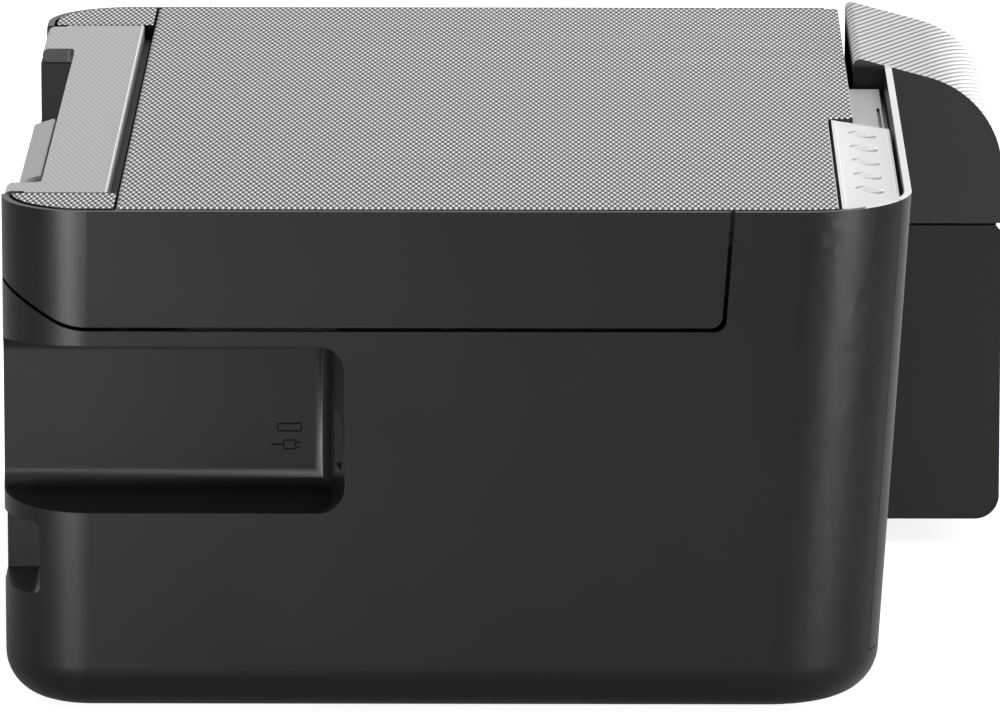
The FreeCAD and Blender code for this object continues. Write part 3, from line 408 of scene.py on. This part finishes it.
def dress_tops():
    """The tops carry the emboss and a much paler colour than the sides of the same mouldings: painted
    reflection and painted highlight on the lid, feed cover, tank cover, shelf and front rim, and painted
    shade on a few faces that lie in shade.
    """
    lid_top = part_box("scanner_lid")[1].z
    # The lid's top and the frame's ears take the lid pattern with its painted highlight and painted sheen.
    dress_faces("scanner_lid", LID_TOP_PAINTED_HIGHLIGHT, lambda centre, normal: normal.z > UPWARD)
    dress_faces("scanner_frame", LID_TOP_PAINTED_HIGHLIGHT, level_with(lid_top))
    # The feed cover's top takes the pale painted reflection.
    dress_faces("slot_cover", COVER_TOP_PAINTED_REFLECTION, lambda centre, normal: normal.z > UPWARD)
    # The feed cover's faces towards -X take the dark lid edge grey: painted shade on its near end.
    dress_faces("slot_cover", FINISHES["lid_grey"], lambda centre, normal: normal.x < -SIDEWAYS)
    # The frame's up-facing faces below the rim take the dark inner finish: painted shade in the gaps around
    # the lid.
    dress_faces("scanner_frame", FINISHES["inner_black"],
                lambda centre, normal: normal.z > UPWARD and centre.z < RIM - 1 * MM)
    # The tank cover's top and nose take the pale painted reflection, while its sides keep the moulding's
    # dark grey.
    dress_faces("tank_cover", TANK_TOP_PAINTED_REFLECTION, top_or_nose)
    dress_faces("tank_housing", TANK_BLACK, lambda centre, normal: True)
    # The shelf's top takes the painted reflection.
    dress_faces("front_panel", SHELF_PAINTED_REFLECTION, level_with(SHELF))
    # The keys' side walls take the white of the marks: painted light that lifts the shade on their raised
    # edges.
    for name in KEY_SIGNS:
        dress_faces(name, WHITE_PRINT_AND_HIGHLIGHT, lambda centre, normal: abs(normal.z) < UPWARD)
    # Only the front rim's top faces take the painted highlight.
    front_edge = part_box("control_panel")[0].y + RIM_HIGHLIGHT_REACH
    at_rim = level_with(RIM)
    for name in ("front_panel", "lower_case"):
        dress_faces(name, PAINTED_RIM_HIGHLIGHT, lambda centre, normal: at_rim(centre, normal) and centre.y < front_edge)


def soften(name, width, segments=2):
    """Rounds a moulding's sharp edges a little, so that they catch the light."""
    node = NODES[name]
    weld = node.modifiers.new("weld", "WELD")
    weld.merge_threshold = 0.01 * MM
    bevel = node.modifiers.new("edges", "BEVEL")
    bevel.width = width
    bevel.segments = segments
    bevel.limit_method = "ANGLE"
    bevel.angle_limit = math.radians(40)
    shading = node.modifiers.new("shading", "WEIGHTED_NORMAL")
    shading.mode = "FACE_AREA"


EDGES = {
    "lower_case": 0.4 * MM,
    "front_panel": 0.3 * MM,
    "scanner_lid": 0.3 * MM,
    "slot_cover": 0.5 * MM,
    "tank_cover": 0.5 * MM,
    "tank_housing": 0.5 * MM,
    "paper_support": 0.5 * MM,
    "output_tray": 0.5 * MM,
}


class Marks:
    """Thin slabs drawn in the plane of a surface, joined into one piece."""

    def __init__(self):
        self.shape = bmesh.new()

    def slab(self, corners):
        """A flat piece with these corners, counter-clockwise as seen from outside."""
        low = [self.shape.verts.new((x, y, MARK_GAP)) for x, y in corners]
        high = [self.shape.verts.new((x, y, MARK_GAP + MARK_DEPTH)) for x, y in corners]
        self.shape.faces.new(low[::-1])
        self.shape.faces.new(high)
        for i in range(len(corners)):
            self.shape.faces.new((low[i - 1], low[i], high[i], high[i - 1]))

    def bar(self, start, end, width):
        """A straight stroke."""
        along = Vector(end) - Vector(start)
        across = along.orthogonal().normalized() * width / 2
        start, end = Vector(start), Vector(end)
        self.slab([start - across, end - across, end + across, start + across])

    def box(self, centre, width, height, stroke):
        """The outline of a rectangle."""
        x, y = centre
        dx, dy = width / 2, height / 2
        for side in (-1, 1):
            self.bar((x - dx, y + side * dy), (x + dx, y + side * dy), stroke)
            self.bar((x + side * dx, y - dy + stroke), (x + side * dx, y + dy - stroke), stroke)

    def arc(self, centre, radius, stroke, start, end, steps=20):
        """A round stroke from one angle to another, in degrees."""
        x, y = centre
        angles = [math.radians(start + (end - start) * step / steps) for step in range(steps + 1)]
        near, far = radius - stroke / 2, radius + stroke / 2
        inner = [(x + near * math.cos(a), y + near * math.sin(a)) for a in angles]
        outer = [(x + far * math.cos(a), y + far * math.sin(a)) for a in angles]
        self.slab(outer + inner[::-1])

    def lay(self, name, origin, across, up, body, finish):
        """Sets the marks on a surface whose across and up directions are given, and ties them to a body."""
        mesh = bpy.data.meshes.new(name)
        bmesh.ops.recalc_face_normals(self.shape, faces=self.shape.faces)
        self.shape.to_mesh(mesh)
        self.shape.free()
        mesh.materials.append(finish.material)
        piece = bpy.data.objects.new(name, mesh)
        across, up = Vector(across).normalized(), Vector(up).normalized()
        turn = Matrix((across, up, across.cross(up))).transposed()
        piece.matrix_world = Matrix.Translation(Vector(origin)) @ turn.to_4x4()
        bpy.context.scene.collection.objects.link(piece)
        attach(piece, body)


def middle(name):
    """The centre of a node's box, on top of it."""
    low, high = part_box(name)
    return Vector(((low.x + high.x) / 2, (low.y + high.y) / 2, high.z))


def power_sign(marks):
    """A broken ring with a stroke in its gap."""
    marks.arc((0, 0), 2 * MM, LINE, 125, 415)
    marks.bar((0, 0.6 * MM), (0, 2.8 * MM), LINE)


def waves_sign(marks):
    """Three arcs that spread from a point."""
    for radius in (1.2, 2.2, 3.2):
        marks.arc((0, -1.6 * MM), radius * MM, FINE_LINE, 50, 130)


def sheet_sign(marks):
    """One sheet of paper."""
    marks.box((0, 0), 3 * MM, 4 * MM, FINE_LINE)


def sheets_sign(marks):
    """A sheet with a second one behind it."""
    marks.box((0.5 * MM, -0.4 * MM), 2.8 * MM, 3.6 * MM, FINE_LINE)
    marks.bar((-1.8 * MM, -1 * MM), (-1.8 * MM, 2.4 * MM), FINE_LINE)
    marks.bar((-2 * MM, 2.4 * MM), (1.2 * MM, 2.4 * MM), FINE_LINE)


def stop_sign(marks):
    """Two crossed strokes."""
    for side in (-1, 1):
        marks.bar((-1.4 * MM * side, -1.4 * MM), (1.4 * MM * side, 1.4 * MM), LINE)


KEY_SIGNS = {
    "power_key": power_sign,
    "wireless_key": waves_sign,
    "mono_copy_key": sheet_sign,
    "colour_copy_key": sheets_sign,
    "stop_key": stop_sign,
}


def print_keys():
    """A plain sign on each key."""
    for key, draw in KEY_SIGNS.items():
        marks = Marks()
        draw(marks)
        marks.lay(key + "_sign", middle(key), ALONG_X, ALONG_Y, key, WHITE_PRINT_AND_HIGHLIGHT)


def print_panel():
    """The panel's border line and the five lamp lines, on its falling top. The border line is a painted
    highlight along the panel's edges; the lamp lines are print.
    """
    low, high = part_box("control_panel")
    width, depth = high.x - low.x, high.y - low.y
    inset, stroke = 1.2 * MM, HAIR_LINE
    lamp_inset, lamp_half = 3.2 * MM, 2 * MM
    front_start = 26 * MM
    fall = Vector((0, depth, PANEL_DROP))
    marks = Marks()
    reach = fall.length
    # The bars along the rear, right and front edges: a painted highlight where the edges catch the light.
    marks.bar((3 * inset, reach - inset), (width - inset, reach - inset), stroke)
    marks.bar((width - inset, inset), (width - inset, reach - 2 * inset), stroke)
    marks.bar((front_start, inset), (width - 2 * inset, inset), stroke)
    for key in KEY_SIGNS:
        x = middle(key).x - low.x
        marks.bar((x - lamp_half, reach - lamp_inset), (x + lamp_half, reach - lamp_inset), LINE)
    corner = (low.x, low.y, high.z - PANEL_DROP)
    marks.lay("panel_edge_highlight_and_lamp_lines", corner, ALONG_X, fall, "case", WHITE_PRINT_AND_HIGHLIGHT)


def emboss_port():
    """A plain plug sign with an empty frame above it, on the wall of the port recess near the socket."""
    marks = Marks()
    marks.box((0, 0), 4 * MM, 3 * MM, LINE)
    marks.bar((-2.2 * MM, 0), (-6 * MM, 0), BOLD_LINE)
    for y in (-0.9, 0.9):
        marks.bar((2.2 * MM, y * MM), (3.8 * MM, y * MM), LINE)
    marks.box((0, 6 * MM), 8 * MM, 2.6 * MM, LINE)
    place = (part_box("lower_case")[0].x + PORT_WALL, PORT_SIGN_Y, PORT_SIGN_Z)
    marks.lay("port_sign", place, (0, -1, 0), ALONG_Z, "case", SIGN_DARK)


def lower_round(low, inset, radius):
    """A quarter round of the lower front edge, from its front to its underside, as (y, z) places."""
    angles = [math.radians(180 + 90 * step / SILL_STEPS) for step in range(SILL_STEPS + 1)]
    return [(low.y + inset + radius * math.cos(a), low.z + inset + radius * math.sin(a)) for a in angles]


def seal_tank():
    """A sill that closes the line where the tank housing's pocket comes through its lower front round."""
    low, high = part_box("tank_housing")
    outer = lower_round(low, SILL_ROUND, SILL_ROUND)
    inner = lower_round(low, TANK_ROUND, TANK_ROUND - MARK_DEPTH)
    front_end, under_end = (low.y, low.z + TANK_ROUND), (low.y + TANK_ROUND, low.z)
    skin = [front_end] + outer + [under_end]
    outline = skin + inner[::-1]
    shape = bmesh.new()
    left = [shape.verts.new((low.x, y, z)) for y, z in outline]
    right = [shape.verts.new((high.x, y, z)) for y, z in outline]
    shape.faces.new(left)
    shape.faces.new(right[::-1])
    for i in range(len(outline)):
        side = shape.faces.new((left[i], left[i - 1], right[i - 1], right[i]))
        side.smooth = 1 <= i < len(skin)
    bmesh.ops.recalc_face_normals(shape, faces=shape.faces)
    mesh = bpy.data.meshes.new("tank_sill")
    shape.to_mesh(mesh)
    shape.free()
    mesh.materials.append(TANK_BLACK.material)
    sill = bpy.data.objects.new("tank_sill", mesh)
    bpy.context.scene.collection.objects.link(sill)
    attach(sill, "case")


def paint_cover_edge_highlight():
    """A painted highlight: the bright line along the front edge of the feed cover, where its rounded edge
    catches the light.
    """
    low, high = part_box("slot_cover")
    marks = Marks()
    marks.bar((low.x, 0), (high.x, 0), HAIR_LINE)
    inset = 0.7 * MM
    edge = (0, low.y + inset, high.z)
    marks.lay("cover_edge_highlight", edge, ALONG_X, ALONG_Y, "slot_cover", WHITE_PRINT_AND_HIGHLIGHT)


def mark_levels():
    """The full and low lines on the tank window."""
    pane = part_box("tank_window")[0].y
    full_width, low_width = 12 * MM, 7 * MM
    marks = Marks()
    for name in ("black", "cyan", "magenta", "yellow"):
        x = middle("ink_tank_" + name).x
        for level, width in ((FULL_LINE, full_width), (LOW_LINE, low_width)):
            marks.bar((x - width / 2, level), (x + width / 2, level), BOLD_LINE)
    marks.lay("level_lines", (0, pane, 0), ALONG_X, ALONG_Z, "case", WHITE_PRINT_AND_HIGHLIGHT)


def cross_screws():
    """The cross recess of the four case screws, seen from below, as flat dark slabs on the heads: painted
    shade where the recess would be.
    """
    low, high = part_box("case_screws")
    head, arm = 3 * MM, 1.6 * MM
    dark = FINISHES["inner_black"]
    marks = Marks()
    for x in (low.x + head, high.x - head):
        for y in (low.y + head, high.y - head):
            marks.bar((x - arm, -y), (x + arm, -y), BOLD_LINE)
            for side in (-1, 1):
                marks.bar((x, -y + side * BOLD_LINE / 2), (x, -y + side * arm), BOLD_LINE)
    marks.lay("screw_recess_shade", (0, 0, low.z), ALONG_X, (0, -1, 0), "case", dark)


def place_camera():
    """The photograph's camera."""
    data = bpy.data.cameras.new("camera")
    data.lens = LENS
    data.sensor_width = SENSOR_WIDTH
    forward = Vector((
        math.cos(CAMERA_PITCH) * math.cos(CAMERA_YAW),
        math.cos(CAMERA_PITCH) * math.sin(CAMERA_YAW),
        -math.sin(CAMERA_PITCH),
    ))
    right = Vector((math.sin(CAMERA_YAW), -math.cos(CAMERA_YAW), 0))
    upward = right.cross(forward)
    camera = bpy.data.objects.new("camera", data)
    turn = Matrix((right, upward, -forward)).transposed()
    camera.matrix_world = Matrix.Translation(CAMERA_PLACE) @ turn.to_4x4()
    bpy.context.scene.collection.objects.link(camera)
    bpy.context.scene.camera = camera


def softbox(name, place, target, width, height, power, spread=180):
    """A rectangular lamp at place that faces target; a small spread keeps its light off the floor."""
    data = bpy.data.lights.new(name, "AREA")
    data.shape = "RECTANGLE"
    data.size = width
    data.size_y = height
    data.energy = power
    data.spread = math.radians(spread)
    lamp = bpy.data.objects.new(name, data)
    lamp.location = place
    lamp.rotation_mode = "QUATERNION"
    lamp.rotation_quaternion = (Vector(target) - Vector(place)).to_track_quat("-Z", "Y")
    bpy.context.scene.collection.objects.link(lamp)


def light_studio():
    """A large lamp overhead, two low ones for the bands on the round corners and one for the front edge."""
    softbox("overhead", (0.5, -0.7, 1.9), (0, 0, 0), width=1.8, height=1.8, power=27)
    softbox("rear_strip", (-1.42, 0.76, 0.16), (-0.16, 0.15, 0.1),
            width=0.65, height=0.3, power=3.6, spread=60)
    softbox("front_strip", (-1.0, -1.22, 0.16), (-0.15, -0.11, 0.1),
            width=0.65, height=0.3, power=3.3, spread=60)
    softbox("edge_lamp", (1.7, -0.9, 0.3), (0, -0.1, 0.1), width=0.4, height=0.6, power=14)
    world = bpy.data.worlds.new("studio")
    bpy.context.scene.world = world
    world.use_nodes = True
    tree = world.node_tree
    background = tree.nodes["Background"]
    background.inputs["Color"].default_value = (1, 1, 1, 1)
    path = tree.nodes.new("ShaderNodeLightPath")
    seen = tree.nodes.new("ShaderNodeMath")
    seen.operation = "MAXIMUM"
    tree.links.new(path.outputs["Is Camera Ray"], seen.inputs[0])
    tree.links.new(path.outputs["Is Glossy Ray"], seen.inputs[1])
    shown = tree.nodes.new("ShaderNodeMath")
    shown.operation = "MAXIMUM"
    tree.links.new(seen.outputs[0], shown.inputs[0])
    tree.links.new(path.outputs["Is Transmission Ray"], shown.inputs[1])
    strength = tree.nodes.new("ShaderNodeMapRange")
    strength.inputs["To Min"].default_value = WORLD_LIGHT
    tree.links.new(shown.outputs[0], strength.inputs["Value"])
    tree.links.new(strength.outputs[0], background.inputs["Strength"])


def lay_floor():
    """A pale floor that keeps the printer's shadow and runs out to white."""
    half = 8.0
    mesh = bpy.data.meshes.new("floor")
    corners = [(-half, -half, 0), (half, -half, 0), (half, half, 0), (-half, half, 0)]
    mesh.from_pydata(corners, [], [(0, 1, 2, 3)])
    floor = bpy.data.objects.new("floor", mesh)
    bpy.context.scene.collection.objects.link(floor)
    finish = Finish("floor", grey(208), 0.8, specular_ior_level=0.1)
    finish.mottle(400 * MM, 0.01)
    path = finish.add("ShaderNodeLightPath")
    finish.set("Emission Color", (1, 1, 1, 1))
    finish.set("Emission Strength", finish.spread(path.outputs["Is Camera Ray"], 0.0, FLOOR_GLOW))
    mesh.materials.append(finish.material)


dress_nodes()
dress_tops()
for edge_node, edge_width in EDGES.items():
    soften(edge_node, edge_width)
print_keys()
print_panel()
emboss_port()
seal_tank()
paint_cover_edge_highlight()
mark_levels()
cross_screws()
place_camera()
light_studio()
lay_floor()

bpy.context.scene.view_settings.view_transform = "Standard"
